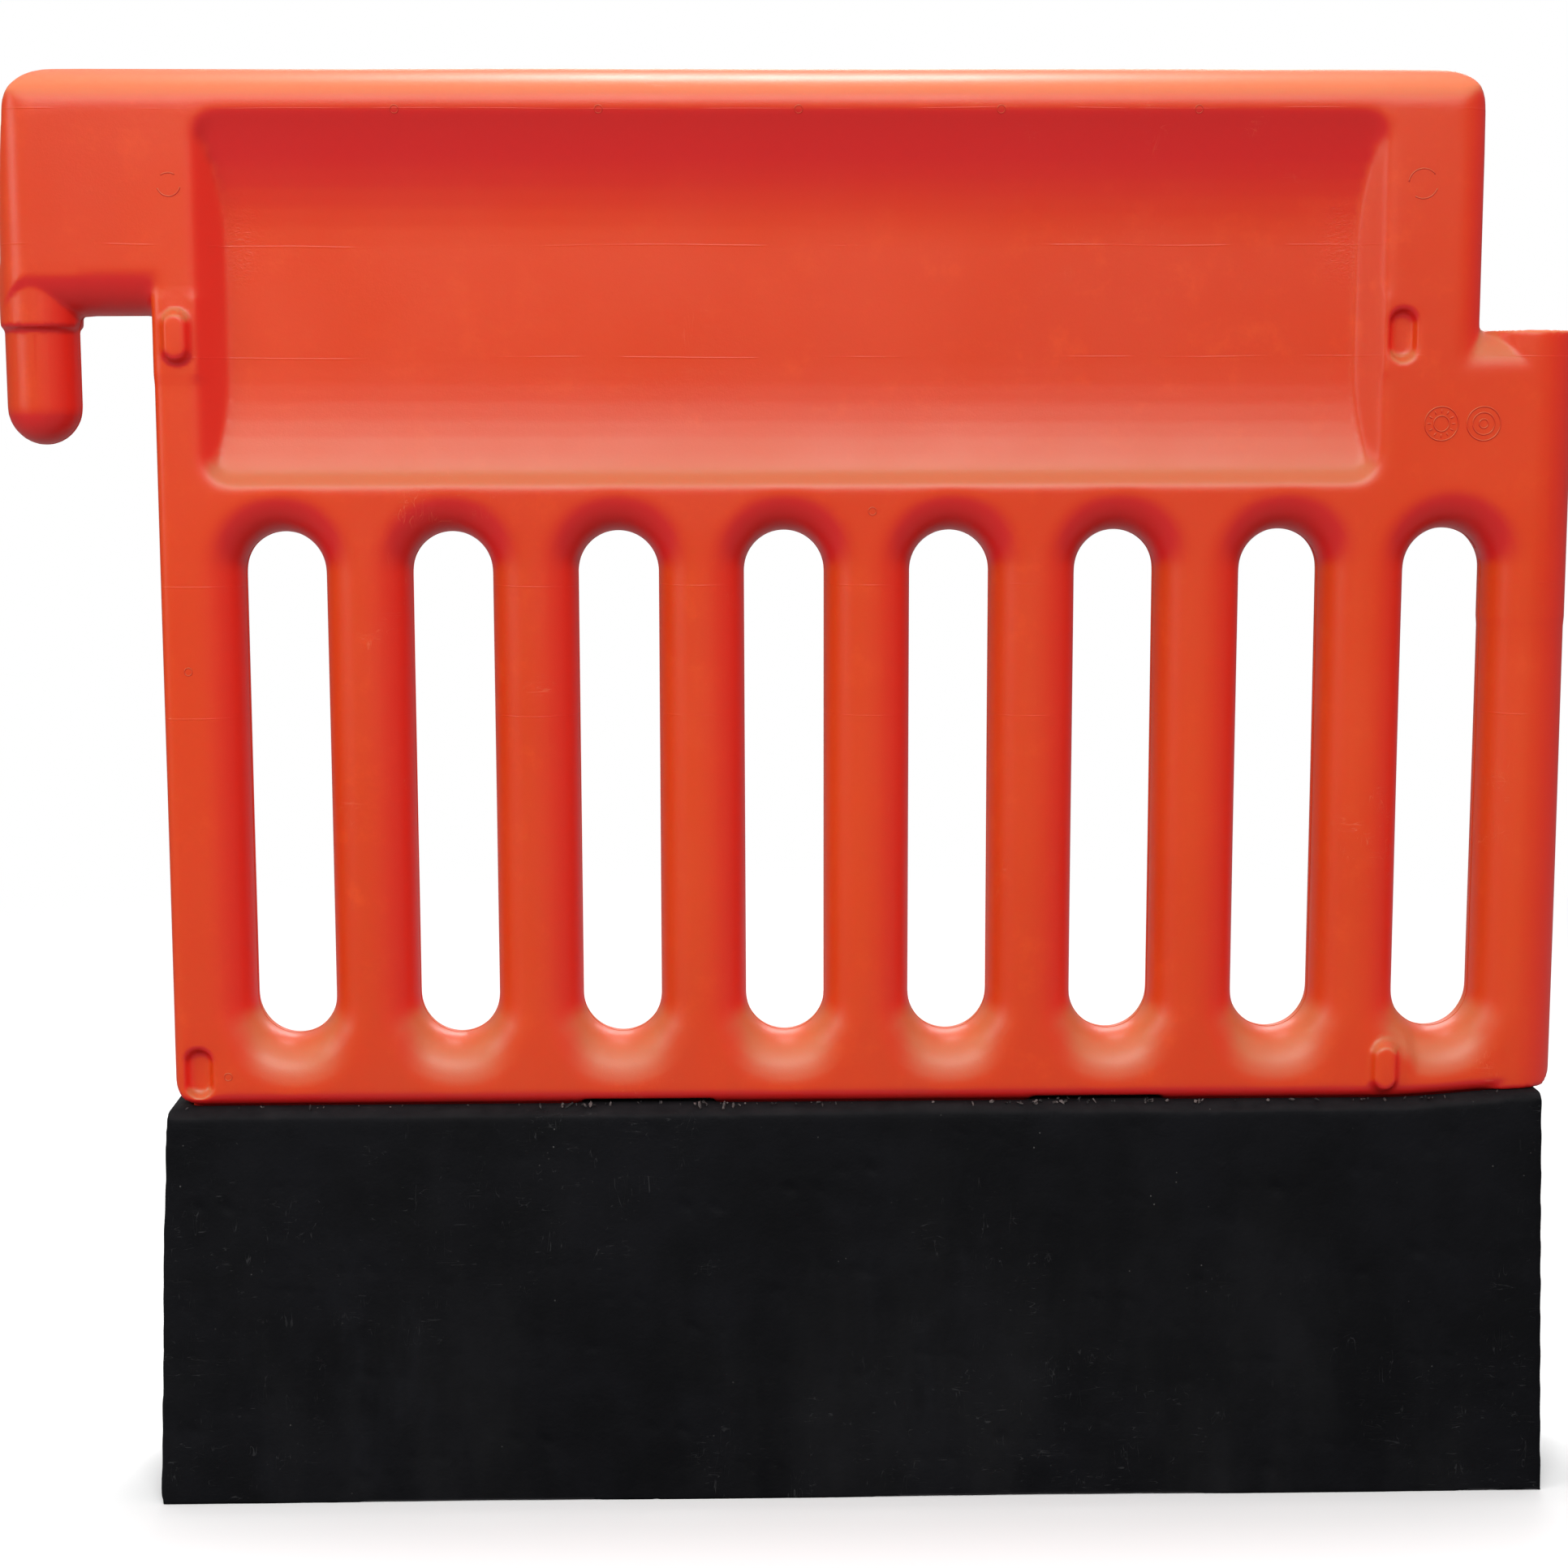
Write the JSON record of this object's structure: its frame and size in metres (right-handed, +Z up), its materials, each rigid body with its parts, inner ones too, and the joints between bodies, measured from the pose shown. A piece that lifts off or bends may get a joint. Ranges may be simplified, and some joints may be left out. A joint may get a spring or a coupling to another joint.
{
  "type": "interlocking pedestrian barricade",
  "caption": "Hollow moulded plastic crowd barricade with open upright slots, a display recess, an end peg and socket for linking, and a rubber ballast base.",
  "frame": {"origin": "middle of the overall length and width, on the ground under the base", "axes": "+X runs from the hinge peg to the hinge socket, -Y is the front face, +Z is up"},
  "size_m": [1.058, 0.14, 0.966],
  "materials": {
    "orange_plastic": "as-moulded satin polyethylene, safety orange",
    "black_rubber": "moulded recycled crumb rubber, fine grain",
    "zinc_steel": "bright zinc plate",
    "insert_brass": "plain turned"
  },
  "bodies": {
    "root": {"barrier_panel": "orange_plastic", "ballast_base": "black_rubber", "fixing_bolts": "zinc_steel", "bolt_washers": "zinc_steel", "compression_sleeves": "zinc_steel", "threaded_inserts": "insert_brass"}
  },
  "joints": []
}
